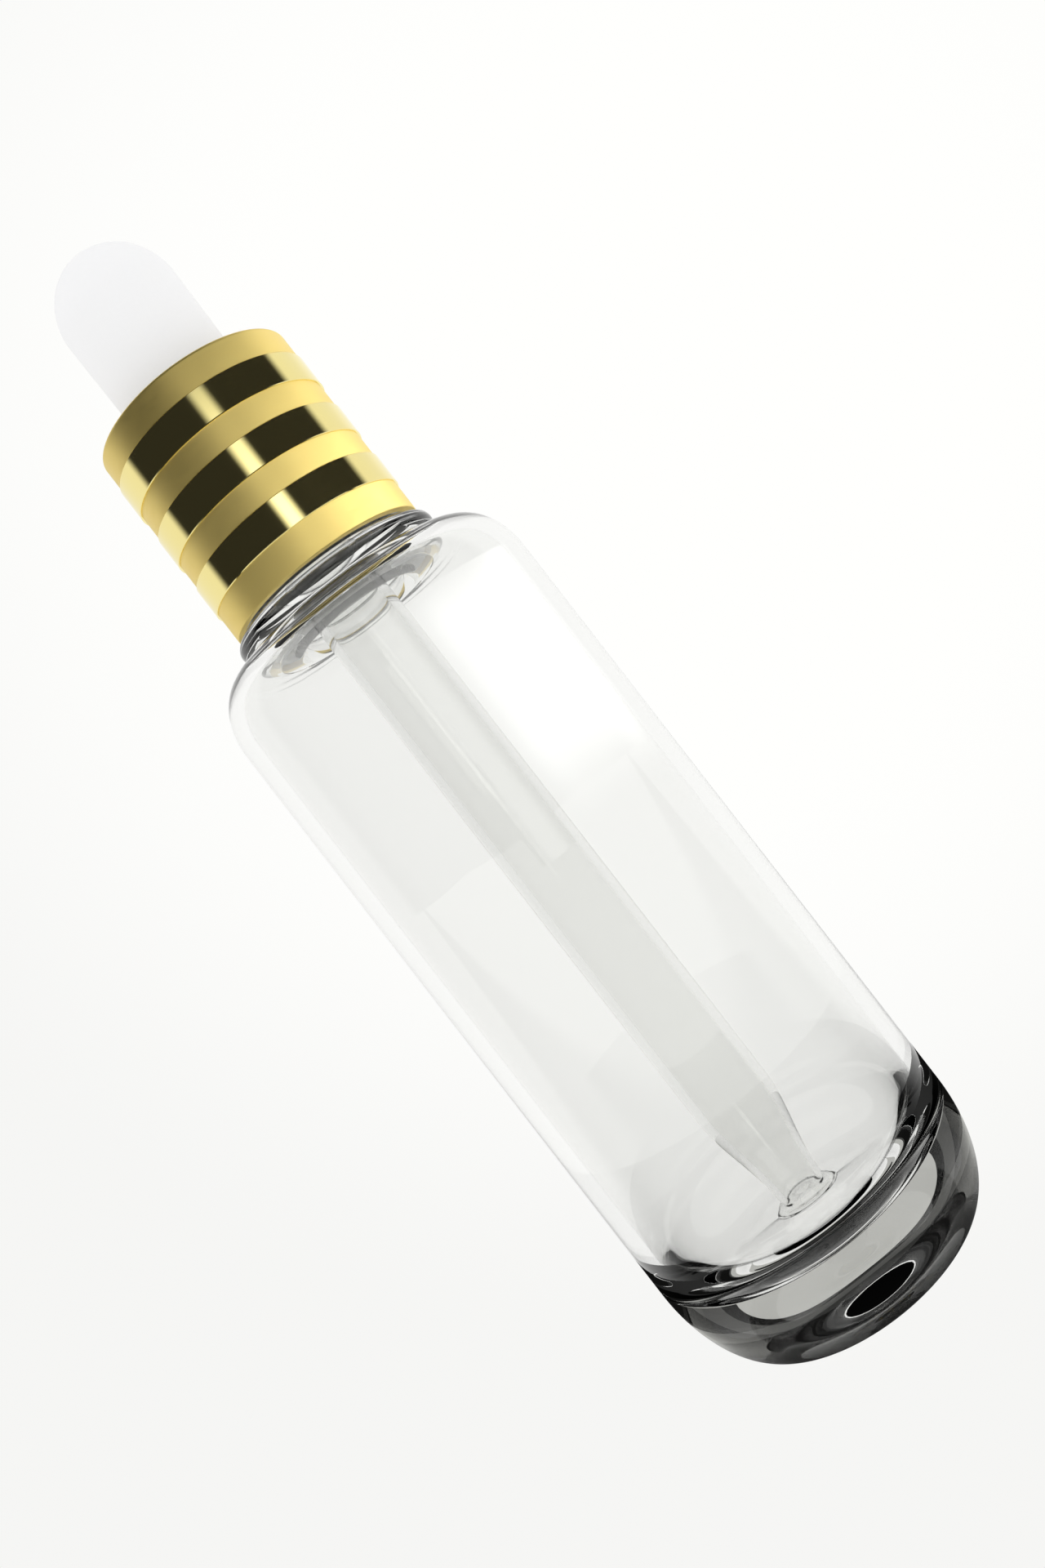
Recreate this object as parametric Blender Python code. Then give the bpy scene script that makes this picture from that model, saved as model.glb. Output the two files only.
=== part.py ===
"""Dropper bottle: a heavy-based round glass bottle with a gold screw collar, a rubber bulb and a glass pipette.

Metres, +Z up. The origin is the centre of the base, and the bottle's axis is +Z.
Every piece but the thread is a turned shape, so each is an outline of (radius, height) spun about Z.
"""

import math

import bmesh
import bpy

MM = 0.001

# Glass body
BODY_R = 15.05 * MM
WALL = 1.40 * MM
BASE_CORNER_R = 5.4 * MM  # how far the base's round corner reaches in
BASE_CORNER_H = 9.8 * MM  # and how far up
SHOULDER_Z = 72.9 * MM
SHOULDER_CORNER_R = 3.75 * MM
SHOULDER_CORNER_H = 5.45 * MM
FLOOR_Z = 6.0 * MM  # the cavity's lowest point, on the axis
FLOOR_RISE = 1.1 * MM  # how much higher the cavity's floor is where its corner starts
CAVITY_CORNER = 6.6 * MM

# Neck
BEAD_R = 10.26 * MM
BEAD_Z = 73.5 * MM
BEAD_H = 1.95 * MM
BEAD_ROUND = 1.3 * MM  # how far the bead's rounding reaches in
NECK_R = 6.65 * MM
BORE_R = 5.3 * MM
THROAT_ROUND = 1.2 * MM  # where the bore meets the shoulder's ceiling
RIM_Z = 89.1 * MM
RIM_ROUND = 0.4 * MM
THREAD_R = 7.35 * MM
THREAD_PITCH = 2.1 * MM
THREAD_TURNS = 1.5
THREAD_START_Z = 81.6 * MM
THREAD_FOOT = 1.5 * MM  # width at the root
THREAD_CREST = 0.6 * MM

# Pipette
PIPETTE_R = 3.7 * MM
PIPETTE_WALL = 0.8 * MM
PIPETTE_TOP_Z = 98.0 * MM
PIPETTE_BEAD_R = 4.5 * MM
PIPETTE_BEAD_Z = 91.0 * MM
PIPETTE_BEAD_H = 0.9 * MM
TIP_Z = 6.3 * MM
TIP_BALL_R = 3.25 * MM
TIP_BALL_Z = 7.5 * MM
TIP_BALL_BORE_R = 2.4 * MM
TIP_BALL_RISE = 1.9 * MM  # how far the ball's upper half would reach above its middle
WAIST_R = 2.25 * MM
WAIST_BORE_R = 1.7 * MM
WAIST_Z = 9.3 * MM
TAPER_Z = 19.0 * MM
ORIFICE_R = 1.0 * MM
ORIFICE_H = 0.4 * MM

# Collar
COLLAR_R = 9.6 * MM
COLLAR_Z = 75.75 * MM
COLLAR_H = 19.05 * MM
COLLAR_WALL = 0.7 * MM
COLLAR_WEB = 0.5 * MM
BAND_PROUD = 0.17 * MM
BAND_H = 2.9 * MM
BAND_PITCH = 5.31 * MM
LOWEST_BAND_Z = COLLAR_Z + 2.8 * MM
GROOVE_R = 9.25 * MM
BAND_GAP = 0.06 * MM  # the clearance of a band in its groove
COLLAR_EDGE = 0.3 * MM
HOLE_R = 6.1 * MM  # where the bulb comes through the collar and the cap

# Inner cap and seal
CAP_R = 8.65 * MM
CAP_WALL = 0.9 * MM
CAP_BOTTOM_Z = 76.2 * MM
CAP_TOP_Z = 94.0 * MM
CAP_WEB = 1.5 * MM
GASKET_R = 7.3 * MM
GASKET_BORE_R = 4.05 * MM
GASKET_Z = 89.4 * MM
GASKET_H = 1.2 * MM

# Bulb
BULB_R = 5.68 * MM
BULB_NECK_R = 5.52 * MM
BULB_TOP_Z = 110.8 * MM
BULB_BORE_R = 4.05 * MM
BULB_FLANGE_R = 7.3 * MM
BULB_FLANGE_Z = 90.9 * MM
BULB_FLANGE_H = 1.2 * MM
BULB_RECESS_R = 4.9 * MM  # room for the pipette's bead
BULB_RECESS_H = 1.3 * MM

COARSE = 24  # segments round the pipette
FINE = 40  # and round everything wider


def material(name, colour, roughness, metallic=0.0, transmission=0.0):
    made = bpy.data.materials.new(name)
    made.use_nodes = True
    shader = made.node_tree.nodes["Principled BSDF"]
    shader.inputs["Base Color"].default_value = (*colour, 1)
    shader.inputs["Roughness"].default_value = roughness
    shader.inputs["Metallic"].default_value = metallic
    shader.inputs["Transmission Weight"].default_value = transmission
    return made


def arc(centre, radii, start, end, steps):
    """Points of an elliptical arc, from start to end degrees, both included."""
    angles = [math.radians(start + (end - start) * i / steps) for i in range(steps + 1)]
    return [(centre[0] + radii[0] * math.cos(a), centre[1] + radii[1] * math.sin(a)) for a in angles]


def smooth_run(start, end, steps):
    """Points between two (radius, height) ends, joining upright stretches without a kink."""
    shares = [i / steps for i in range(steps + 1)]
    eased = [share * share * (3 - 2 * share) for share in shares]
    return [
        (start[0] + (end[0] - start[0]) * ease, start[1] + (end[1] - start[1]) * share)
        for share, ease in zip(shares, eased)
    ]


def turned(name, outline, segments, look):
    """A body of revolution from a closed outline of (radius, height), run down its outer side first."""
    mesh = bpy.data.meshes.new(name)
    work = bmesh.new()
    points = [work.verts.new((radius, 0, height)) for radius, height in outline]
    edges = [work.edges.new((a, b)) for a, b in zip(points, points[1:] + points[:1]) if a is not b]
    if outline[0][0] == 0 and outline[-1][0] == 0:
        work.edges.remove(edges.pop())
    bmesh.ops.spin(
        work, geom=points + edges, axis=(0, 0, 1), cent=(0, 0, 0), steps=segments, angle=math.tau, use_merge=True
    )
    bmesh.ops.remove_doubles(work, verts=work.verts, dist=1e-7)
    bmesh.ops.recalc_face_normals(work, faces=work.faces)
    work.to_mesh(mesh)
    work.free()
    mesh.materials.append(look)
    mesh.shade_smooth()
    mesh.set_sharp_from_angle(angle=math.radians(35))
    piece = bpy.data.objects.new(name, mesh)
    bpy.context.collection.objects.link(piece)
    return piece


def thread():
    """The helical ridge on the neck, sunk into the wall, whose ends fade into the root."""
    steps = int(24 * THREAD_TURNS)
    sunk = NECK_R - 0.5 * MM
    work = bmesh.new()
    rings = []
    for i in range(steps + 1):
        turn = i / steps * THREAD_TURNS
        fade = min(1, i / 4, (steps - i) / 4)
        crest = NECK_R - 0.2 * MM + (THREAD_R - NECK_R + 0.2 * MM) * fade
        middle = THREAD_START_Z + turn * THREAD_PITCH
        corners = (
            (sunk, -THREAD_FOOT / 2),
            (crest, -THREAD_CREST / 2),
            (crest, THREAD_CREST / 2),
            (sunk, THREAD_FOOT / 2),
        )
        angle = math.tau * turn
        rings.append([
            work.verts.new((radius * math.cos(angle), radius * math.sin(angle), middle + up)) for radius, up in corners
        ])
    for a, b in zip(rings, rings[1:]):
        for j in range(4):
            work.faces.new((a[j], b[j], b[(j + 1) % 4], a[(j + 1) % 4]))
    work.faces.new(rings[0])
    work.faces.new(reversed(rings[-1]))
    bmesh.ops.recalc_face_normals(work, faces=work.faces)
    mesh = bpy.data.meshes.new("thread_ridge")
    work.to_mesh(mesh)
    work.free()
    ridge = bpy.data.objects.new("thread_ridge", mesh)
    bpy.context.collection.objects.link(ridge)
    ridge.hide_render = True
    ridge.display_type = "WIRE"
    return ridge


def glass_bottle(look):
    """Body, heavy base, shoulder, bead and threaded neck, in one piece of glass."""
    bead_half = BEAD_H / 2
    bead_foot_r = BEAD_R - 1.5 * BEAD_ROUND
    inner_r = BODY_R - WALL
    ceiling_z = SHOULDER_Z - WALL
    ceiling_r = SHOULDER_CORNER_R - WALL
    ceiling_h = SHOULDER_CORNER_H - WALL
    floor_r = inner_r - CAVITY_CORNER
    floor_edge_z = FLOOR_Z + FLOOR_RISE
    outline = [
        *arc((BORE_R + RIM_ROUND, RIM_Z - RIM_ROUND), (RIM_ROUND, RIM_ROUND), 180, 90, 2),
        *arc((NECK_R - RIM_ROUND, RIM_Z - RIM_ROUND), (RIM_ROUND, RIM_ROUND), 90, 0, 2),
        (NECK_R, BEAD_Z + BEAD_H),
        *arc((BEAD_R - BEAD_ROUND, BEAD_Z + bead_half), (BEAD_ROUND, bead_half), 90, -90, 6),
        (bead_foot_r, BEAD_Z),
        (bead_foot_r, SHOULDER_Z),
        *arc(
            (BODY_R - SHOULDER_CORNER_R, SHOULDER_Z - SHOULDER_CORNER_H),
            (SHOULDER_CORNER_R, SHOULDER_CORNER_H),
            90,
            0,
            6,
        ),
        *arc((BODY_R - BASE_CORNER_R, BASE_CORNER_H), (BASE_CORNER_R, BASE_CORNER_H), 0, -90, 8),
        (0, 0),
        (0, FLOOR_Z),
        *[(floor_r * i / 4, FLOOR_Z + FLOOR_RISE * (i / 4) ** 2) for i in range(1, 4)],
        *arc((floor_r, floor_edge_z + CAVITY_CORNER), (CAVITY_CORNER, CAVITY_CORNER), -90, 0, 6),
        *arc((inner_r - ceiling_r, ceiling_z - ceiling_h), (ceiling_r, ceiling_h), 0, 90, 5),
        *arc((BORE_R + THROAT_ROUND, ceiling_z + THROAT_ROUND), (THROAT_ROUND, THROAT_ROUND), -90, -180, 3),
    ]
    bottle = turned("glass_bottle", outline, FINE, look)
    union = bottle.modifiers.new("neck_thread", "BOOLEAN")
    union.operation = "UNION"
    union.object = thread()
    return bottle


def glass_pipette(look):
    """Straight tube with a retaining bead, a drawn-in waist and a ball tip with a small orifice."""
    bore_r = PIPETTE_R - PIPETTE_WALL
    lip = PIPETTE_WALL / 2
    ball_h = TIP_BALL_Z - TIP_Z
    outline = [
        *arc((PIPETTE_R - lip, PIPETTE_TOP_Z - lip), (lip, lip), 180, 0, 4),
        (PIPETTE_R, PIPETTE_BEAD_Z + PIPETTE_BEAD_H),
        (PIPETTE_BEAD_R, PIPETTE_BEAD_Z + 0.75 * PIPETTE_BEAD_H),
        (PIPETTE_BEAD_R, PIPETTE_BEAD_Z + 0.25 * PIPETTE_BEAD_H),
        (PIPETTE_R, PIPETTE_BEAD_Z),
        *smooth_run((PIPETTE_R, TAPER_Z), (WAIST_R, WAIST_Z), 6),
        *arc((0, TIP_BALL_Z), (TIP_BALL_R, TIP_BALL_RISE), 48, 12, 3),
        *arc((0, TIP_BALL_Z), (TIP_BALL_R, ball_h), 0, -70, 5),
        (ORIFICE_R, TIP_Z),
        (ORIFICE_R, TIP_Z + ORIFICE_H),
        *arc((0, TIP_BALL_Z), (TIP_BALL_BORE_R, ball_h - ORIFICE_H), -50, 30, 4),
        *smooth_run((WAIST_BORE_R, WAIST_Z), (bore_r, TAPER_Z), 5),
    ]
    return turned("glass_pipette", outline, COARSE, look)


def rubber_bulb(look):
    """Hollow teat, open below, whose flange is trapped under the cap's web."""
    dome_z = BULB_TOP_Z - BULB_R
    inner_top_z = BULB_TOP_Z - (BULB_R - BULB_BORE_R)
    flange_top_z = BULB_FLANGE_Z + BULB_FLANGE_H
    outline = [
        *arc((0, dome_z), (BULB_R, BULB_R), 90, 0, 8),
        (BULB_NECK_R, COLLAR_Z + COLLAR_H),
        (BULB_NECK_R, flange_top_z),
        (BULB_FLANGE_R, flange_top_z),
        (BULB_FLANGE_R, BULB_FLANGE_Z),
        (BULB_RECESS_R, BULB_FLANGE_Z),
        (BULB_RECESS_R, PIPETTE_BEAD_Z + BULB_RECESS_H),
        (BULB_BORE_R, PIPETTE_BEAD_Z + BULB_RECESS_H),
        *arc((0, inner_top_z - BULB_BORE_R), (BULB_BORE_R, BULB_BORE_R), 0, 90, 6),
    ]
    return turned("rubber_bulb", outline, FINE, look)


def collar_shell(look):
    """Satin metal shell with a rolled top edge and a groove for each polished band."""
    top_z = COLLAR_Z + COLLAR_H
    outline = [
        (HOLE_R, top_z),
        *arc((COLLAR_R - COLLAR_EDGE, top_z - COLLAR_EDGE), (COLLAR_EDGE, COLLAR_EDGE), 90, 0, 2),
    ]
    for i in (2, 1, 0):
        low = LOWEST_BAND_Z + i * BAND_PITCH - BAND_GAP
        high = low + BAND_H + 2 * BAND_GAP
        outline += [(COLLAR_R, high), (GROOVE_R, high), (GROOVE_R, low), (COLLAR_R, low)]
    outline += [
        (COLLAR_R, COLLAR_Z),
        (COLLAR_R - COLLAR_WALL, COLLAR_Z),
        (COLLAR_R - COLLAR_WALL, top_z - COLLAR_WEB),
        (HOLE_R, top_z - COLLAR_WEB),
    ]
    return turned("collar_shell", outline, FINE, look)


def polished_band(name, place, look):
    """One bright ring, which stands a little proud of the shell. place counts up from the lowest."""
    low = LOWEST_BAND_Z + place * BAND_PITCH
    high = low + BAND_H
    outer = COLLAR_R + BAND_PROUD
    inner = GROOVE_R + BAND_GAP
    return turned(name, [(outer, high), (outer, low), (inner, low), (inner, high)], FINE, look)


def inner_cap(look):
    """Plastic closure inside the shell: its web holds the bulb's flange down on the seal."""
    inner_r = CAP_R - CAP_WALL
    web_z = CAP_TOP_Z - CAP_WEB
    outline = [
        (HOLE_R, CAP_TOP_Z),
        (CAP_R, CAP_TOP_Z),
        (CAP_R, CAP_BOTTOM_Z),
        (inner_r, CAP_BOTTOM_Z),
        (inner_r, web_z),
        (HOLE_R, web_z),
    ]
    return turned("inner_cap", outline, FINE, look)


def neck_gasket(look):
    """Soft washer between the bottle's rim and the bulb's flange."""
    high = GASKET_Z + GASKET_H
    outline = [(GASKET_R, high), (GASKET_R, GASKET_Z), (GASKET_BORE_R, GASKET_Z), (GASKET_BORE_R, high)]
    return turned("neck_gasket", outline, FINE, look)


def main():
    for old in list(bpy.data.objects):
        bpy.data.objects.remove(old)
    glass = material("clear_glass", (0.96, 0.97, 0.95), 0.02, transmission=1.0)
    satin_gold = material("satin_gold", (0.72, 0.58, 0.27), 0.42, metallic=1.0)
    bright_gold = material("bright_gold", (0.78, 0.62, 0.28), 0.12, metallic=1.0)
    white_rubber = material("white_rubber", (0.93, 0.93, 0.93), 0.55)
    white_plastic = material("white_plastic", (0.86, 0.86, 0.84), 0.4)
    clear_seal = material("seal_foam", (0.8, 0.8, 0.78), 0.6)
    glass_bottle(glass)
    glass_pipette(glass)
    rubber_bulb(white_rubber)
    collar_shell(satin_gold)
    for place, name in enumerate(("lower_band", "middle_band", "upper_band")):
        polished_band(name, place, bright_gold)
    inner_cap(white_plastic)
    neck_gasket(clear_seal)


main()
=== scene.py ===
"""Looks of the dropper bottle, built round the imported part: its glass, gold, rubber, studio and camera.

Metres, +Z up, in the part's own frame: the base stands on Z = 0 and the bottle's axis is +Z.
"""

import math

import bmesh
import bpy
from mathutils import Matrix, Vector


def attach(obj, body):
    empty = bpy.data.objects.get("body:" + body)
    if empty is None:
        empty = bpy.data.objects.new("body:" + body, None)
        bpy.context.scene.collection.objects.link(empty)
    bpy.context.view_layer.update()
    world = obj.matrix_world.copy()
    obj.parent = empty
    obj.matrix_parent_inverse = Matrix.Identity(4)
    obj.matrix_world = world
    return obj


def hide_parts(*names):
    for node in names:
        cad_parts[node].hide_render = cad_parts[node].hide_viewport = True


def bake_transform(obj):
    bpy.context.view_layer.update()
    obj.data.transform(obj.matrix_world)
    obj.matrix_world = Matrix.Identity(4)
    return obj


MM = 0.001

# Glass body
BODY_R = 15.05 * MM
WALL = 1.40 * MM
BASE_CORNER_R = 5.4 * MM
BASE_CORNER_H = 9.8 * MM
SHOULDER_Z = 72.9 * MM
SHOULDER_CORNER_R = 3.75 * MM
SHOULDER_CORNER_H = 5.45 * MM
FLOOR_Z = 6.0 * MM
FLOOR_RISE = 1.1 * MM
CAVITY_CORNER = 6.6 * MM

# Neck
BEAD_R = 10.26 * MM
BEAD_Z = 73.5 * MM
BEAD_H = 1.95 * MM
BEAD_ROUND = 1.3 * MM
NECK_R = 6.65 * MM
BORE_R = 5.3 * MM
THROAT_ROUND = 1.2 * MM
RIM_Z = 89.1 * MM
RIM_ROUND = 0.4 * MM
THREAD_R = 7.35 * MM
THREAD_PITCH = 2.1 * MM
THREAD_TURNS = 1.5
THREAD_START_Z = 81.6 * MM
THREAD_FOOT = 1.5 * MM
THREAD_SUNK = 0.5 * MM  # how deep the ridge's foot lies in the wall
THREAD_END_SUNK = 0.2 * MM  # how deep its crest lies at its two ends

# Pipette
PIPETTE_R = 3.7 * MM
PIPETTE_WALL = 0.8 * MM
PIPETTE_TOP_Z = 98.0 * MM
PIPETTE_BEAD_R = 4.5 * MM
PIPETTE_BEAD_Z = 91.0 * MM
PIPETTE_BEAD_H = 0.9 * MM
TIP_Z = 6.3 * MM
TIP_BALL_R = 3.25 * MM
TIP_BALL_Z = 7.5 * MM
TIP_BALL_BORE_R = 2.4 * MM
TIP_BALL_RISE = 1.9 * MM
WAIST_R = 2.25 * MM
WAIST_BORE_R = 1.7 * MM
WAIST_Z = 9.3 * MM
TAPER_Z = 19.0 * MM
ORIFICE_R = 1.0 * MM
ORIFICE_H = 0.4 * MM

# Collar
COLLAR_R = 9.6 * MM
COLLAR_Z = 75.75 * MM
COLLAR_H = 19.05 * MM
COLLAR_WALL = 0.7 * MM
COLLAR_WEB = 0.5 * MM
COLLAR_EDGE = 0.3 * MM
BAND_PROUD = 0.17 * MM
BAND_H = 2.9 * MM
BAND_PITCH = 5.31 * MM
LOWEST_BAND_Z = COLLAR_Z + 2.8 * MM
BAND_BEVEL = 0.06 * MM
HOLE_R = 6.1 * MM

# Inner cap and seal
CAP_R = 8.65 * MM
CAP_WALL = 0.9 * MM
CAP_BOTTOM_Z = 76.2 * MM
CAP_TOP_Z = 94.0 * MM
CAP_WEB = 1.5 * MM
GASKET_R = 7.3 * MM
GASKET_BORE_R = 4.05 * MM
GASKET_Z = 89.4 * MM
GASKET_H = 1.2 * MM

# Bulb
BULB_R = 5.68 * MM
BULB_NECK_R = 5.52 * MM
BULB_TOP_Z = 110.8 * MM
BULB_BORE_R = 4.05 * MM
BULB_FLANGE_R = 7.3 * MM
BULB_FLANGE_Z = 90.9 * MM
BULB_FLANGE_H = 1.2 * MM
BULB_RECESS_R = 4.9 * MM
BULB_RECESS_H = 1.3 * MM

# Meshes
SEGMENTS = 192
TUBE_SEGMENTS = 128
SHARP = math.radians(30)  # edges that bend more than this stay crisp


def arc(centre, radii, start, end, steps):
    """Points of an elliptical arc, from start to end degrees, both included."""
    angles = [math.radians(start + (end - start) * i / steps) for i in range(steps + 1)]
    return [(centre[0] + radii[0] * math.cos(a), centre[1] + radii[1] * math.sin(a)) for a in angles]


def smooth_run(start, end, steps):
    """Points between two (radius, height) ends, joining upright stretches without a kink."""
    shares = [i / steps for i in range(steps + 1)]
    eased = [share * share * (3 - 2 * share) for share in shares]
    return [
        (start[0] + (end[0] - start[0]) * ease, start[1] + (end[1] - start[1]) * share)
        for share, ease in zip(shares, eased)
    ]


def placed(name, data):
    """A new object in the scene for a mesh or a camera."""
    made = bpy.data.objects.new(name, data)
    bpy.context.scene.collection.objects.link(made)
    return made


def closed_mesh(name, work):
    """The bmesh as a mesh whose faces point out. work is used up."""
    bmesh.ops.recalc_face_normals(work, faces=work.faces)
    mesh = bpy.data.meshes.new(name)
    work.to_mesh(mesh)
    work.free()
    return mesh


def turned(name, outline, look, segments=SEGMENTS):
    """A body of revolution from a closed outline of (radius, height)."""
    work = bmesh.new()
    rings = []
    for radius, height in outline:
        if radius == 0:
            rings.append([work.verts.new((0, 0, height))])
            continue
        angles = [math.tau * i / segments for i in range(segments)]
        places = [(radius * math.cos(a), radius * math.sin(a), height) for a in angles]
        rings.append([work.verts.new(place) for place in places])
    for low, high in zip(rings, rings[1:] + rings[:1]):
        if len(low) == 1 and len(high) == 1:
            continue
        for i in range(segments):
            j = (i + 1) % segments
            corners = [low[i % len(low)], low[j % len(low)], high[j % len(high)], high[i % len(high)]]
            work.faces.new(list(dict.fromkeys(corners)))
    mesh = closed_mesh(name, work)
    mesh.materials.append(look)
    mesh.shade_smooth()
    mesh.set_sharp_from_angle(angle=SHARP)
    return placed(name, mesh)


def thread():
    """The rounded helical ridge on the neck, sunk into the wall, whose ends fade into the root."""
    steps = int(96 * THREAD_TURNS)
    fade_steps = 16
    across = 10
    roundness = 0.8
    sunk = NECK_R - THREAD_SUNK
    end_crest = NECK_R - THREAD_END_SUNK
    work = bmesh.new()
    rings = []
    for i in range(steps + 1):
        turn = i / steps * THREAD_TURNS
        fade = min(1, i / fade_steps, (steps - i) / fade_steps)
        crest = end_crest + (THREAD_R - NECK_R + THREAD_END_SUNK) * fade
        middle = THREAD_START_Z + turn * THREAD_PITCH
        angle = math.tau * turn
        ring = []
        for k in range(across + 1):
            bend = math.pi * k / across
            radius = sunk + (crest - sunk) * math.sin(bend) ** roundness
            height = middle - THREAD_FOOT / 2 * math.cos(bend)
            ring.append(work.verts.new((radius * math.cos(angle), radius * math.sin(angle), height)))
        rings.append(ring)
    for a, b in zip(rings, rings[1:]):
        for j in range(across + 1):
            k = (j + 1) % (across + 1)
            work.faces.new((a[j], b[j], b[k], a[k]))
    work.faces.new(rings[0])
    work.faces.new(reversed(rings[-1]))
    return placed("thread_ridge", closed_mesh("thread_ridge", work))


def joined(piece, tool):
    """piece with tool merged into it as one closed surface. tool is used up."""
    union = piece.modifiers.new("union", "BOOLEAN")
    union.operation = "UNION"
    union.object = tool
    graph = bpy.context.evaluated_depsgraph_get()
    merged = bpy.data.meshes.new_from_object(piece.evaluated_get(graph))
    piece.modifiers.clear()
    piece.data = merged
    bpy.data.objects.remove(tool)
    merged.set_sharp_from_angle(angle=SHARP)
    return piece


def glass_body(look):
    """Body, heavy base, shoulder, bead and threaded neck, in one piece of glass."""
    bead_half = BEAD_H / 2
    bead_foot_r = BEAD_R - 1.5 * BEAD_ROUND
    inner_r = BODY_R - WALL
    ceiling_z = SHOULDER_Z - WALL
    ceiling_r = SHOULDER_CORNER_R - WALL
    ceiling_h = SHOULDER_CORNER_H - WALL
    floor_r = inner_r - CAVITY_CORNER
    floor_edge_z = FLOOR_Z + FLOOR_RISE
    outline = [
        *arc((BORE_R + RIM_ROUND, RIM_Z - RIM_ROUND), (RIM_ROUND, RIM_ROUND), 180, 90, 6),
        *arc((NECK_R - RIM_ROUND, RIM_Z - RIM_ROUND), (RIM_ROUND, RIM_ROUND), 90, 0, 6),
        (NECK_R, BEAD_Z + BEAD_H),
        *arc((BEAD_R - BEAD_ROUND, BEAD_Z + bead_half), (BEAD_ROUND, bead_half), 90, -90, 24),
        (bead_foot_r, BEAD_Z),
        (bead_foot_r, SHOULDER_Z),
        *arc(
            (BODY_R - SHOULDER_CORNER_R, SHOULDER_Z - SHOULDER_CORNER_H),
            (SHOULDER_CORNER_R, SHOULDER_CORNER_H),
            90,
            0,
            28,
        ),
        *arc((BODY_R - BASE_CORNER_R, BASE_CORNER_H), (BASE_CORNER_R, BASE_CORNER_H), 0, -90, 48),
        (0, 0),
        (0, FLOOR_Z),
        *[(floor_r * i / 16, FLOOR_Z + FLOOR_RISE * (i / 16) ** 2) for i in range(1, 16)],
        *arc((floor_r, floor_edge_z + CAVITY_CORNER), (CAVITY_CORNER, CAVITY_CORNER), -90, 0, 36),
        *arc((inner_r - ceiling_r, ceiling_z - ceiling_h), (ceiling_r, ceiling_h), 0, 90, 24),
        *arc(
            (BORE_R + THROAT_ROUND, ceiling_z + THROAT_ROUND),
            (THROAT_ROUND, THROAT_ROUND),
            -90,
            -180,
            10,
        ),
    ]
    return joined(turned("bottle_glass", outline, look), thread())


def pipette(look):
    """Straight tube with a retaining bead, a drawn-in waist and a hollow ball tip."""
    bore_r = PIPETTE_R - PIPETTE_WALL
    lip = PIPETTE_WALL / 2
    ball_h = TIP_BALL_Z - TIP_Z
    bead_half = PIPETTE_BEAD_H / 2
    bead_proud = PIPETTE_BEAD_R - PIPETTE_R
    outline = [
        *arc((PIPETTE_R - lip, PIPETTE_TOP_Z - lip), (lip, lip), 180, 0, 12),
        *arc((PIPETTE_R, PIPETTE_BEAD_Z + bead_half), (bead_proud, bead_half), 90, -90, 10),
        *smooth_run((PIPETTE_R, TAPER_Z), (WAIST_R, WAIST_Z), 32),
        *arc((0, TIP_BALL_Z), (TIP_BALL_R, TIP_BALL_RISE), 48, 3, 15),
        *arc((0, TIP_BALL_Z), (TIP_BALL_R, ball_h), 0, -70, 18),
        (ORIFICE_R, TIP_Z),
        (ORIFICE_R, TIP_Z + ORIFICE_H),
        *arc((0, TIP_BALL_Z), (TIP_BALL_BORE_R, ball_h - ORIFICE_H), -50, 30, 16),
        *smooth_run((WAIST_BORE_R, WAIST_Z), (bore_r, TAPER_Z), 32),
    ]
    return turned("pipette_glass", outline, look, TUBE_SEGMENTS)


def bulb(look):
    """Hollow teat, open below, whose flange is trapped under the cap's web."""
    dome_z = BULB_TOP_Z - BULB_R
    inner_top_z = BULB_TOP_Z - (BULB_R - BULB_BORE_R)
    flange_top_z = BULB_FLANGE_Z + BULB_FLANGE_H
    recess_z = PIPETTE_BEAD_Z + BULB_RECESS_H
    dome = arc((0, dome_z), (BULB_R, BULB_R), 90, 0, 32)
    hollow = arc((0, inner_top_z - BULB_BORE_R), (BULB_BORE_R, BULB_BORE_R), 0, 90, 20)
    outline = [
        (0, BULB_TOP_Z),
        *dome[1:],
        (BULB_NECK_R, COLLAR_Z + COLLAR_H),
        (BULB_NECK_R, flange_top_z),
        (BULB_FLANGE_R, flange_top_z),
        (BULB_FLANGE_R, BULB_FLANGE_Z),
        (BULB_RECESS_R, BULB_FLANGE_Z),
        (BULB_RECESS_R, recess_z),
        (BULB_BORE_R, recess_z),
        *hollow[:-1],
        (0, inner_top_z),
    ]
    return turned("bulb_rubber", outline, look)


def shell(look):
    """Satin metal shell, with rounded edges. The polished bands sit in its side."""
    top_z = COLLAR_Z + COLLAR_H
    hem = 0.12 * MM
    inner_r = COLLAR_R - COLLAR_WALL
    outline = [
        (HOLE_R, top_z - hem),
        (HOLE_R + hem, top_z),
        *arc((COLLAR_R - COLLAR_EDGE, top_z - COLLAR_EDGE), (COLLAR_EDGE, COLLAR_EDGE), 90, 0, 8),
        *arc((COLLAR_R - hem, COLLAR_Z + hem), (hem, hem), 0, -90, 4),
        (inner_r, COLLAR_Z),
        (inner_r, top_z - COLLAR_WEB),
        (HOLE_R, top_z - COLLAR_WEB),
    ]
    return turned("collar_metal", outline, look)


def band(name, place, look):
    """One bright ring, which stands a little proud of the shell. place counts up from the lowest."""
    low = LOWEST_BAND_Z + place * BAND_PITCH
    high = low + BAND_H
    outer = COLLAR_R + BAND_PROUD
    inner = COLLAR_R - 0.2 * MM
    outline = [
        (outer - BAND_BEVEL, high),
        (outer, high - BAND_BEVEL),
        (outer, low + BAND_BEVEL),
        (outer - BAND_BEVEL, low),
        (inner, low),
        (inner, high),
    ]
    return turned(name, outline, look)


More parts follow.
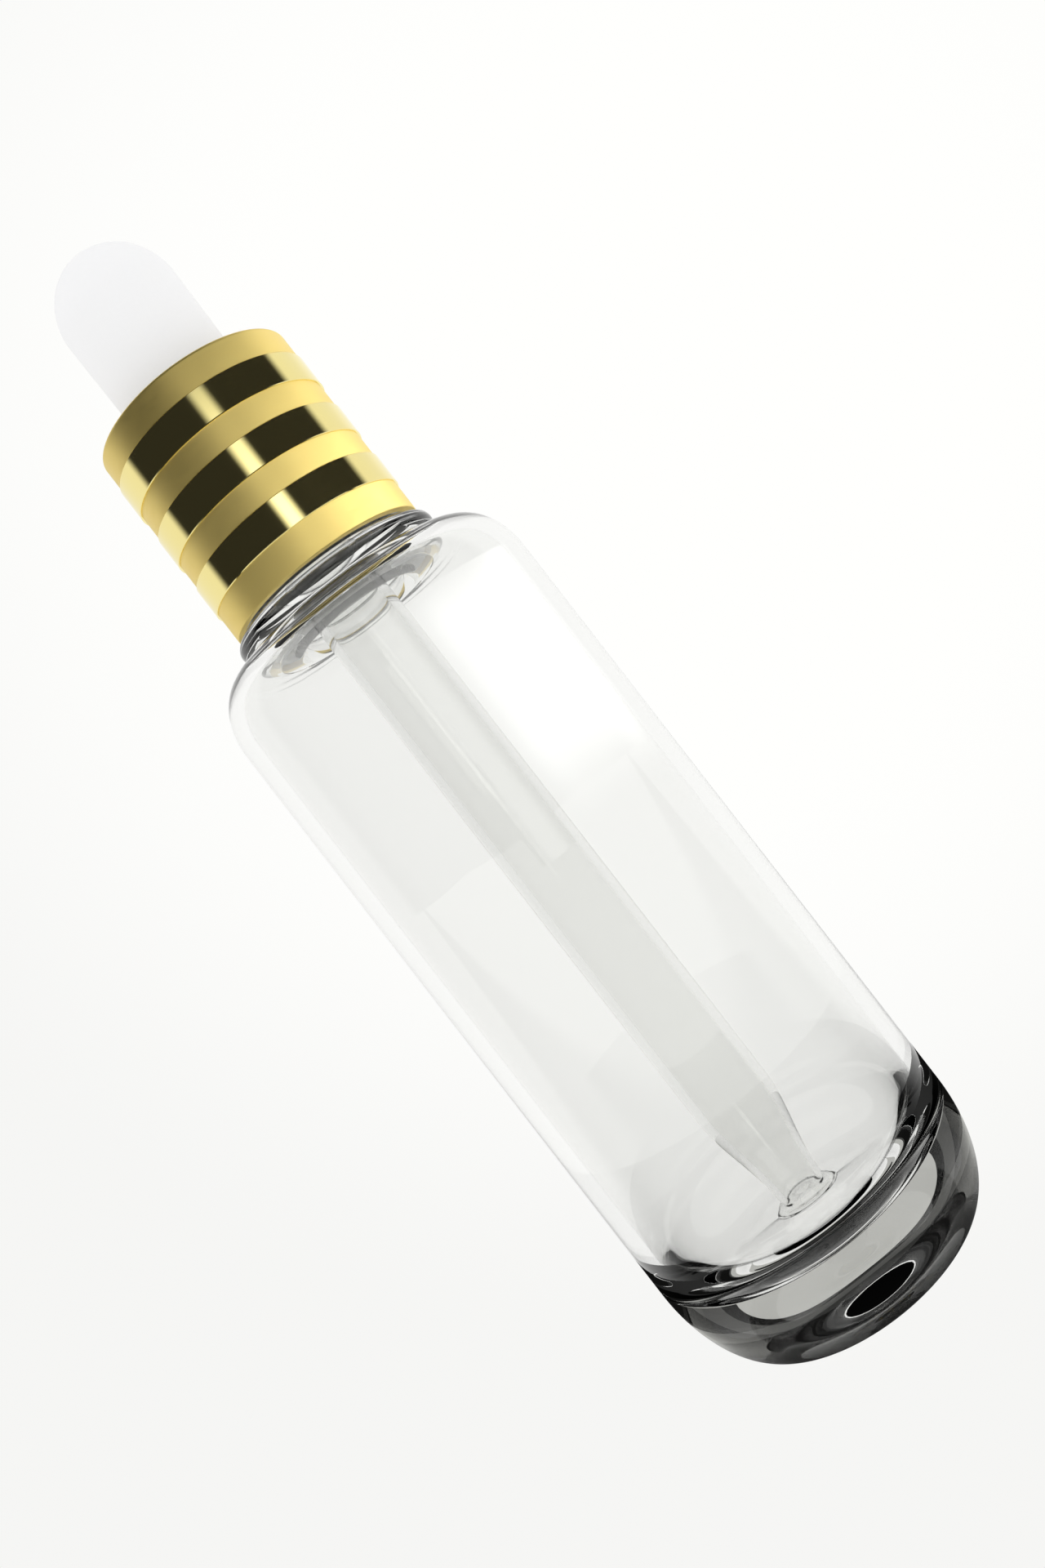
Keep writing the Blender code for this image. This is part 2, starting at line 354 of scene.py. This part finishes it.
def cap(look):
    """Plastic closure inside the shell, with a rounded mouth."""
    inner_r = CAP_R - CAP_WALL
    web_z = CAP_TOP_Z - CAP_WEB
    lip = CAP_WALL / 2
    outline = [
        (HOLE_R, CAP_TOP_Z),
        (CAP_R, CAP_TOP_Z),
        *arc((CAP_R - lip, CAP_BOTTOM_Z + lip), (lip, lip), 0, -180, 12),
        (inner_r, web_z),
        (HOLE_R, web_z),
    ]
    return turned("cap_plastic", outline, look)


def gasket(look):
    """Soft washer between the bottle's rim and the bulb's flange, with rounded edges."""
    half = GASKET_H / 2
    outline = [
        *arc((GASKET_R - half, GASKET_Z + half), (half, half), 90, -90, 12),
        (GASKET_BORE_R, GASKET_Z),
        (GASKET_BORE_R, GASKET_Z + GASKET_H),
    ]
    return turned("gasket_foam", outline, look)


def link(tree, source, output, target, into):
    tree.links.new(source.outputs[output], target.inputs[into])


def new_look(name, **settings):
    """A material's node tree and its Principled shader, with these constants on the shader."""
    made = bpy.data.materials.new(name)
    made.use_nodes = True
    shader = made.node_tree.nodes["Principled BSDF"]
    for label, value in settings.items():
        shader.inputs[label.replace("_", " ")].default_value = value
    return made, made.node_tree, shader


def noise(tree, scale, detail=3.0, stretch=(1, 1, 1)):
    """Noise in the piece's own coordinates. scale is in cycles per metre."""
    place = tree.nodes.new("ShaderNodeTexCoord")
    spread = tree.nodes.new("ShaderNodeMapping")
    spread.inputs["Scale"].default_value = stretch
    made = tree.nodes.new("ShaderNodeTexNoise")
    made.inputs["Scale"].default_value = scale
    made.inputs["Detail"].default_value = detail
    link(tree, place, "Object", spread, "Vector")
    link(tree, spread, "Vector", made, "Vector")
    return made


def ranged(tree, source, low, high):
    made = tree.nodes.new("ShaderNodeMapRange")
    made.inputs["From Min"].default_value = 0.3
    made.inputs["From Max"].default_value = 0.7
    made.inputs["To Min"].default_value = low
    made.inputs["To Max"].default_value = high
    link(tree, source, "Fac", made, "Value")
    return made


def mixed(tree, source, first, second):
    """A colour between first and second, chosen by the noise."""
    made = tree.nodes.new("ShaderNodeMix")
    made.data_type = "RGBA"
    made.inputs["A"].default_value = (*first, 1)
    made.inputs["B"].default_value = (*second, 1)
    link(tree, source, "Fac", made, "Factor")
    return made


def bumped(tree, source, shader, depth, strength):
    made = tree.nodes.new("ShaderNodeBump")
    made.inputs["Distance"].default_value = depth
    made.inputs["Strength"].default_value = strength
    link(tree, source, "Fac", made, "Height")
    link(tree, made, "Normal", shader, "Normal")


def glass_look(name, share):
    """Clear glass. share is how much of the light one surface passes."""
    made, tree, shader = new_look(name, Roughness=0.0, IOR=1.5, Transmission_Weight=1.0)
    cloud = noise(tree, 60)
    deep = (share - 0.012, share - 0.008, share - 0.018)
    tint = mixed(tree, cloud, deep, (share, share, share - 0.005))
    link(tree, tint, "Result", shader, "Base Color")
    return made


def satin_look():
    made, tree, shader = new_look("satin_gold", Metallic=1.0)
    grain = noise(tree, 900, 4, (1, 1, 6))
    tone = mixed(tree, grain, (0.97, 0.765, 0.26), (0.99, 0.79, 0.275))
    link(tree, tone, "Result", shader, "Base Color")
    rough = ranged(tree, grain, 0.46, 0.52)
    link(tree, rough, "Result", shader, "Roughness")
    bumped(tree, grain, shader, 0.004 * MM, 0.25)
    return made


def polished_look():
    made, tree, shader = new_look("bright_gold", Metallic=1.0)
    haze = noise(tree, 220, 2)
    tone = mixed(tree, haze, (0.94, 0.81, 0.34), (0.97, 0.84, 0.36))
    link(tree, tone, "Result", shader, "Base Color")
    rough = ranged(tree, haze, 0.07, 0.09)
    link(tree, rough, "Result", shader, "Roughness")
    return made


def rubber_look():
    made, tree, shader = new_look("white_rubber", Roughness=0.6, Subsurface_Weight=0.0)
    pores = noise(tree, 2500, 3)
    tone = mixed(tree, pores, (0.935, 0.935, 0.955), (0.96, 0.96, 0.98))
    link(tree, tone, "Result", shader, "Base Color")
    bumped(tree, pores, shader, 0.01 * MM, 0.15)
    return made


def plastic_look():
    made, tree, shader = new_look("white_plastic", Roughness=0.4)
    flow = noise(tree, 300, 2)
    tone = mixed(tree, flow, (0.84, 0.84, 0.82), (0.88, 0.88, 0.86))
    link(tree, tone, "Result", shader, "Base Color")
    rough = ranged(tree, flow, 0.36, 0.44)
    link(tree, rough, "Result", shader, "Roughness")
    return made


def foam_look():
    made, tree, shader = new_look("seal_foam", Roughness=0.7)
    cells = noise(tree, 4000, 2)
    tone = mixed(tree, cells, (0.72, 0.72, 0.70), (0.84, 0.84, 0.82))
    link(tree, tone, "Result", shader, "Base Color")
    bumped(tree, cells, shader, 0.02 * MM, 0.4)
    return made


def fitted(piece, body, slot, *nodes):
    """piece moves with body and stands for these nodes of the part, which are hidden. slot is not used."""
    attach(piece, body)
    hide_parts(*nodes)
    return piece


def build_pieces():
    body_glass, tube_glass = glass_look("clear_glass", 0.958), glass_look("tube_glass", 0.93)
    satin, bright = satin_look(), polished_look()
    fitted(glass_body(body_glass), "bottle", "clear_glass", "glass_bottle")
    fitted(pipette(tube_glass), "dropper", "clear_glass", "glass_pipette")
    fitted(shell(satin), "cap", "satin_gold", "collar_shell")
    for place, name in enumerate(("lower_band", "middle_band", "upper_band")):
        fitted(band(name.replace("_band", "_ring"), place, bright), "cap", "bright_gold", name)
    fitted(cap(plastic_look()), "cap", "white_plastic", "inner_cap")
    fitted(gasket(foam_look()), "seal", "seal_foam", "neck_gasket")
    teat = bulb(rubber_look())
    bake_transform(teat)
    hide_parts("rubber_bulb")


# Studio
PALE = (1.0, 1.0, 0.985)
DIM = 0.03  # how bright the unlit front of the studio is, beside the white behind the bottle
SOFT_EXTRA = 0.13  # how much more light than the background the matt pieces get

# Where the studio changes with direction. Y points away behind the bottle, and Z up.
MIRROR_FADE = (0.03, 0.23)  # Y, from the dim front to the white back in reflections
GLASS_FADE = (-0.34, -0.14)  # Y, the same through glass
HIGH_FADE = (0.16, 0.26)  # Z, from where the front is white through glass to where it is dim
RISING_FADE = (-0.2, -0.1)  # Z, over which light that bounced inside the glass loses the white
GLOW_WAY = (0.242, 0.958, 0.153)  # the direction in which the background is whitest
GLOW_FADE = (0.78, 0.975)  # where the background's glow begins and is full, as a cosine from GLOW_WAY
GLOW_LOW = 0.92  # its brightness away from there
GLOW_MIDDLE = (0.0, -0.11, 0.05)  # the floor's glow spreads round this point, to meet the background's

# Which light a ray is, by how many faces of glass it has crossed and how often it has bounced
ONE_WALL = 2.5
TWO_WALLS = 4.5
ANY_BOUNCE = 0.5

# Floor
FLOOR_RADIUS = 3.0
GROUND_Z = -0.3 * MM
STRIP_FRONT = (-0.14, -0.08)  # Y, where a strip of the floor under the bottle begins to be dim
STRIP_BACK = (-0.01, 0.02)  # Y, where it ends

# Key light, whose sides and top fade over these shares of its width and height
KEY_AZIMUTH = 8.0  # degrees to the camera's right
KEY_DISTANCE = 1.0
KEY_WIDTH = 0.46
KEY_TOP = 0.66
KEY_POWER = 2.3
KEY_LEFT_FADE = (0.0, 0.4)
KEY_RIGHT_FADE = (0.6, 1.0)
KEY_TOP_FADE = (0.42, 0.95)

# Softbox, a metre from the bottle, whose ends and edges fade in the same way
SOFTBOX_POWER = 4.5
SOFTBOX_FROM = 18  # degrees to the camera's right, as for the key
SOFTBOX_TO = 128
SOFTBOX_LOW = 0.0
SOFTBOX_TOP = 0.27
SOFTBOX_STEPS = 48
END_FADES = ((0.0, 0.25), (0.8, 1.0))
EDGE_FADES = ((0.0, 0.35), (0.8, 1.0))

# Cards round the bottle
CARD_R = 18 * MM
CARD_STEPS = 96
FLAG_H = 10.4 * MM
# The base's card of painted shade and painted reflection, as (lowest height, brightness) of each band
PAINTED_BASE_BANDS = ((0, 0.5), (2.7 * MM, 0.004), (3.0 * MM, 0.075), (3.6 * MM, 0.006))
FLAG_BLUE = 0.95  # blue beside red and green
SLEEVE_Z = 21 * MM
SLEEVE_TOP_Z = 95 * MM

# Camera
CAMERA_AT = (0, -0.1121, 0.05045)
CAMERA_YAW = 1.1748
CAMERA_PITCH = 0.425
CAMERA_ROLL = -37.7708
LENS = 29.625
SENSOR = 36
NEAREST = 0.001

# How often light may turn, so that it gets out of the thick glass of the shoulder, the neck and the base
MOST_BOUNCES = 32
MOST_TURNS = 5


def separated(tree, source, output):
    made = tree.nodes.new("ShaderNodeSeparateXYZ")
    link(tree, source, output, made, "Vector")
    return made


def math_node(tree, operation, first, second):
    """first and second are (node, output) pairs or numbers."""
    made = tree.nodes.new("ShaderNodeMath")
    made.operation = operation
    for i, value in enumerate((first, second)):
        if isinstance(value, tuple):
            link(tree, *value, made, i)
        else:
            made.inputs[i].default_value = value
    return (made, "Value")


def vector_node(tree, operation, first, second=None):
    """first is a (node, output) pair, and second a vector."""
    made = tree.nodes.new("ShaderNodeVectorMath")
    made.operation = operation
    link(tree, *first, made, 0)
    if second is not None:
        made.inputs[1].default_value = second
    return made


def step_node(tree, value, low, high):
    """0 where value is under low, 1 over high, and smooth between."""
    made = tree.nodes.new("ShaderNodeMapRange")
    made.interpolation_type = "SMOOTHSTEP"
    made.inputs["From Min"].default_value = low
    made.inputs["From Max"].default_value = high
    link(tree, *value, made, "Value")
    return (made, "Result")


def turned_down(tree, value, start, end):
    """1 where value is under start, 0 over end, and smooth between."""
    return math_node(tree, "SUBTRACT", 1.0, step_node(tree, value, start, end))


def between(tree, value, rise, fall):
    """0 outside the two fades, 1 between them."""
    return math_node(tree, "MULTIPLY", step_node(tree, value, *rise), turned_down(tree, value, *fall))


def bounced_light(tree, path):
    """1 for light that bounced inside the glass and crossed two walls at the most."""
    short = math_node(tree, "LESS_THAN", (path, "Transmission Depth"), TWO_WALLS)
    bounced = math_node(tree, "GREATER_THAN", (path, "Glossy Depth"), ANY_BOUNCE)
    return math_node(tree, "MULTIPLY", short, bounced)


def base_light(tree, path):
    """1 for light that crossed the heavy base alone, or that bounced inside the glass."""
    alone = math_node(tree, "LESS_THAN", (path, "Transmission Depth"), ONE_WALL)
    return math_node(tree, "MAXIMUM", alone, bounced_light(tree, path))


def mirrored_light(tree, path):
    """1 for light seen in a reflection. Light through clear glass is glossy too, so it is taken out."""
    crossed = math_node(tree, "SUBTRACT", 1.0, (path, "Is Transmission Ray"))
    return math_node(tree, "MULTIPLY", (path, "Is Glossy Ray"), crossed)


def spread_glow(tree, way):
    """The pale background: whitest toward one point, and a little greyer away from it."""
    facing = vector_node(tree, "DOT_PRODUCT", way, Vector(GLOW_WAY).normalized())
    near = step_node(tree, (facing, "Value"), *GLOW_FADE)
    return math_node(tree, "ADD", math_node(tree, "MULTIPLY", near, 1.0 - GLOW_LOW), GLOW_LOW)


def studio_level(tree, behind, up, path):
    """How bright the studio is in a direction, for the kind of ray that asks.

    behind and up are the direction's Y and Z. What the camera sees directly is white all round. So is what
    lights the matt pieces, which get a little more. Reflections have a dim front. Through glass the front
    is dim high up. Light that bounced inside the glass finds all dim but what lies well below.
    """
    back = step_node(tree, behind, *GLASS_FADE)
    mirrored = step_node(tree, behind, *MIRROR_FADE)
    low = turned_down(tree, up, *HIGH_FADE)
    through = math_node(tree, "MAXIMUM", back, low)
    clear = (path, "Is Transmission Ray")
    front = math_node(tree, "SUBTRACT", 1.0, mirrored)
    by_gloss = math_node(tree, "MULTIPLY", mirrored_light(tree, path), front)
    by_glass = math_node(tree, "MULTIPLY", clear, math_node(tree, "SUBTRACT", 1.0, through))
    rising = math_node(tree, "MULTIPLY", bounced_light(tree, path), step_node(tree, up, *RISING_FADE))
    by_base = math_node(tree, "MULTIPLY", clear, rising)
    dark = math_node(tree, "MAXIMUM", by_gloss, math_node(tree, "MAXIMUM", by_glass, by_base))
    fall = math_node(tree, "MULTIPLY", dark, 1.0 - DIM)
    extra = math_node(tree, "MULTIPLY", (path, "Is Diffuse Ray"), SOFT_EXTRA)
    return math_node(tree, "ADD", math_node(tree, "SUBTRACT", 1.0, fall), extra)


def build_world():
    world = bpy.data.worlds.new("studio")
    bpy.context.scene.world = world
    world.use_nodes = True
    world.cycles.sampling_method = "NONE"
    tree = world.node_tree
    shown = tree.nodes["Background"]
    shown.inputs["Color"].default_value = (*PALE, 1)
    place = tree.nodes.new("ShaderNodeTexCoord")
    axes = separated(tree, place, "Generated")
    path = tree.nodes.new("ShaderNodeLightPath")
    level = studio_level(tree, (axes, "Y"), (axes, "Z"), path)
    level = math_node(tree, "MULTIPLY", level, spread_glow(tree, (place, "Generated")))
    link(tree, *level, shown, "Strength")


def glowing(name, power=1.0):
    """A material that only glows, and its tree and emission node."""
    made = bpy.data.materials.new(name)
    made.use_nodes = True
    tree = made.node_tree
    tree.nodes.remove(tree.nodes["Principled BSDF"])
    glow = tree.nodes.new("ShaderNodeEmission")
    glow.inputs["Color"].default_value = (*PALE, 1)
    glow.inputs["Strength"].default_value = power
    link(tree, glow, "Emission", tree.nodes["Material Output"], "Surface")
    return made, tree, glow


def shown_only(tree, glow, share):
    """The glow shows by this share, and the rest of the light passes straight through."""
    clear = tree.nodes.new("ShaderNodeBsdfTransparent")
    either = tree.nodes.new("ShaderNodeMixShader")
    link(tree, *share, either, "Fac")
    link(tree, clear, "BSDF", either, 1)
    link(tree, glow, "Emission", either, 2)
    link(tree, either, "Shader", tree.nodes["Material Output"], "Surface")


def staged(name, points, faces, look):
    mesh = bpy.data.meshes.new(name)
    mesh.from_pydata(points, [], faces)
    mesh.materials.append(look)
    made = placed(name, mesh)
    return made


def kept_from_view(piece, look):
    """The piece is never seen directly and lights nothing matt."""
    piece.visible_camera = False
    piece.visible_diffuse = False
    look.cycles.emission_sampling = "NONE"


def round_card(name, low, high, look):
    """An upright round card about the bottle's axis, without a shadow."""
    ring = [math.tau * i / CARD_STEPS for i in range(CARD_STEPS)]
    points = [(CARD_R * math.cos(a), CARD_R * math.sin(a), z) for z in (low, high) for a in ring]
    steps = [(i, (i + 1) % CARD_STEPS) for i in range(CARD_STEPS)]
    faces = [(i, j, CARD_STEPS + j, CARD_STEPS + i) for i, j in steps]
    card = staged(name, points, faces, look)
    card.visible_shadow = False
    kept_from_view(card, look)


def build_floor():
    """The pale floor. A strip under and in front of the bottle is dim in mirrored and bounced light."""
    look, tree, glow = glowing("pale_floor")
    place = tree.nodes.new("ShaderNodeTexCoord")
    axes = separated(tree, place, "Object")
    path = tree.nodes.new("ShaderNodeLightPath")
    turned_back = math_node(tree, "MAXIMUM", mirrored_light(tree, path), bounced_light(tree, path))
    back = step_node(tree, (axes, "Y"), *STRIP_BACK)
    front = turned_down(tree, (axes, "Y"), *STRIP_FRONT)
    pale = math_node(tree, "MAXIMUM", back, front)
    dark = math_node(tree, "MULTIPLY", turned_back, math_node(tree, "SUBTRACT", 1.0, pale))
    level = math_node(tree, "SUBTRACT", 1.0, math_node(tree, "MULTIPLY", dark, 1.0 - DIM))
    from_middle = vector_node(tree, "SUBTRACT", (place, "Object"), GLOW_MIDDLE)
    way = vector_node(tree, "NORMALIZE", (from_middle, "Vector"))
    level = math_node(tree, "MULTIPLY", level, spread_glow(tree, (way, "Vector")))
    link(tree, *level, glow, "Strength")
    r, z = FLOOR_RADIUS, GROUND_Z
    staged("floor", [(-r, -r, z), (r, -r, z), (r, r, z), (-r, r, z)], [(0, 1, 2, 3)], look)
    look.cycles.emission_sampling = "NONE"


def build_key():
    """A tall soft light beside the camera, dimmer towards its top and its upright edges."""
    look, tree, glow = glowing("key_glow", KEY_POWER)
    place = tree.nodes.new("ShaderNodeTexCoord")
    axes = separated(tree, place, "Generated")
    edge = between(tree, (axes, "X"), KEY_LEFT_FADE, KEY_RIGHT_FADE)
    top = turned_down(tree, (axes, "Z"), *KEY_TOP_FADE)
    shape = math_node(tree, "MULTIPLY", edge, top)
    level = math_node(tree, "MAXIMUM", math_node(tree, "MULTIPLY", shape, KEY_POWER), DIM)
    link(tree, *level, glow, "Strength")
    a = math.radians(KEY_AZIMUTH)
    middle = Vector((math.sin(a), -math.cos(a), 0)) * KEY_DISTANCE
    side = Vector((math.cos(a), math.sin(a), 0)) * KEY_WIDTH / 2
    rise = Vector((0, 0, KEY_TOP))
    corners = [middle - side, middle + side, middle + side + rise, middle - side + rise]
    staged("key_light", corners, [(0, 1, 2, 3)], look).visible_camera = False


def build_softbox():
    """A long low soft light curving round the right-hand side, seen only in reflections."""
    look, tree, glow = glowing("softbox_glow", SOFTBOX_POWER)
    place = tree.nodes.new("ShaderNodeTexCoord")
    axes = separated(tree, place, "UV")
    ends = between(tree, (axes, "X"), *END_FADES)
    sides = between(tree, (axes, "Y"), *EDGE_FADES)
    shape = math_node(tree, "MULTIPLY", ends, sides)
    path = tree.nodes.new("ShaderNodeLightPath")
    shown_only(tree, glow, math_node(tree, "MULTIPLY", shape, mirrored_light(tree, path)))
    points = []
    for z in (SOFTBOX_LOW, SOFTBOX_TOP):
        for i in range(SOFTBOX_STEPS + 1):
            a = math.radians(SOFTBOX_FROM + (SOFTBOX_TO - SOFTBOX_FROM) * i / SOFTBOX_STEPS)
            points.append((math.sin(a), -math.cos(a), z))
    row = SOFTBOX_STEPS + 1
    faces = [(i, i + 1, row + i + 1, row + i) for i in range(SOFTBOX_STEPS)]
    box = staged("softbox", points, faces, look)
    layer = box.data.uv_layers.new(name="UVMap")
    for loop in box.data.loops:
        index = loop.vertex_index
        layer.data[loop.index].uv = (index % row / SOFTBOX_STEPS, float(index >= row))
    kept_from_view(box, look)


def build_painted_base_shade():
    """A card round the base in bands of grey, which draws the thickness of the base in painted shade and
    painted reflection.

    It shows only to light that has bounced inside the glass, or that has crossed the base alone.
    """
    look, tree, glow = glowing("painted_base_shade")
    place = tree.nodes.new("ShaderNodeTexCoord")
    axes = separated(tree, place, "Object")
    share = math_node(tree, "DIVIDE", (axes, "Z"), FLAG_H)
    # The bands are painted shade and painted reflection, seen only in the base's glass.
    bands = tree.nodes.new("ShaderNodeValToRGB")
    bands.color_ramp.interpolation = "CONSTANT"
    marks = bands.color_ramp.elements
    while len(marks) < len(PAINTED_BASE_BANDS):
        marks.new(1.0)
    for mark, (height, grey) in zip(marks, PAINTED_BASE_BANDS):
        mark.position = height / FLAG_H
        mark.color = (grey, grey, FLAG_BLUE * grey, 1)
    link(tree, *share, bands, "Fac")
    link(tree, bands, "Color", glow, "Color")
    path = tree.nodes.new("ShaderNodeLightPath")
    shown_only(tree, glow, base_light(tree, path))
    round_card("base_shade_card", 0, FLAG_H, look)


def build_sleeve():
    """A white card round the shoulder, which keeps its edges as pale as the background behind them.

    It shows only to light that has bounced inside the glass and is on its way through it.
    """
    look, tree, glow = glowing("sleeve_card")
    path = tree.nodes.new("ShaderNodeLightPath")
    seen = math_node(tree, "MULTIPLY", (path, "Is Transmission Ray"), bounced_light(tree, path))
    shown_only(tree, glow, seen)
    round_card("shoulder_sleeve", SLEEVE_Z, SLEEVE_TOP_Z, look)


def build_camera():
    """The camera, level with the bottle's middle and rolled about its line of sight."""
    yaw, pitch, roll = (math.radians(angle) for angle in (CAMERA_YAW, CAMERA_PITCH, CAMERA_ROLL))
    ahead = Vector((math.sin(yaw) * math.cos(pitch), math.cos(yaw) * math.cos(pitch), math.sin(pitch)))
    level = Vector((math.cos(yaw), -math.sin(yaw), 0))
    upright = level.cross(ahead)
    right = level * math.cos(roll) + upright * math.sin(roll)
    up = upright * math.cos(roll) - level * math.sin(roll)
    data = bpy.data.cameras.new("camera")
    data.lens = LENS
    data.sensor_width = SENSOR
    data.clip_start = NEAREST
    camera = placed("camera", data)
    turn = Matrix((right, up, -ahead)).transposed().to_4x4()
    camera.matrix_world = Matrix.Translation(CAMERA_AT) @ turn
    bpy.context.scene.camera = camera


def corners(box):
    return [list(corner) for corner in box]


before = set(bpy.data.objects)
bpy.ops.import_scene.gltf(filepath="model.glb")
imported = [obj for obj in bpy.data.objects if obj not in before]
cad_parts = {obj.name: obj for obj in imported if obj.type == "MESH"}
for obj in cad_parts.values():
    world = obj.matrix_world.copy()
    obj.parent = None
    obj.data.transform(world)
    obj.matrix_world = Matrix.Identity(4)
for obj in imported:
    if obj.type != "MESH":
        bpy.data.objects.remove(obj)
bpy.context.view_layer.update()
build_pieces()
build_world()
build_floor()
build_key()
build_softbox()
build_painted_base_shade()
build_sleeve()
build_camera()
bpy.context.scene.view_settings.view_transform = "Standard"
bpy.context.scene.cycles.max_bounces = MOST_BOUNCES
bpy.context.scene.cycles.glossy_bounces = MOST_TURNS
bpy.context.scene.cycles.transmission_bounces = MOST_BOUNCES
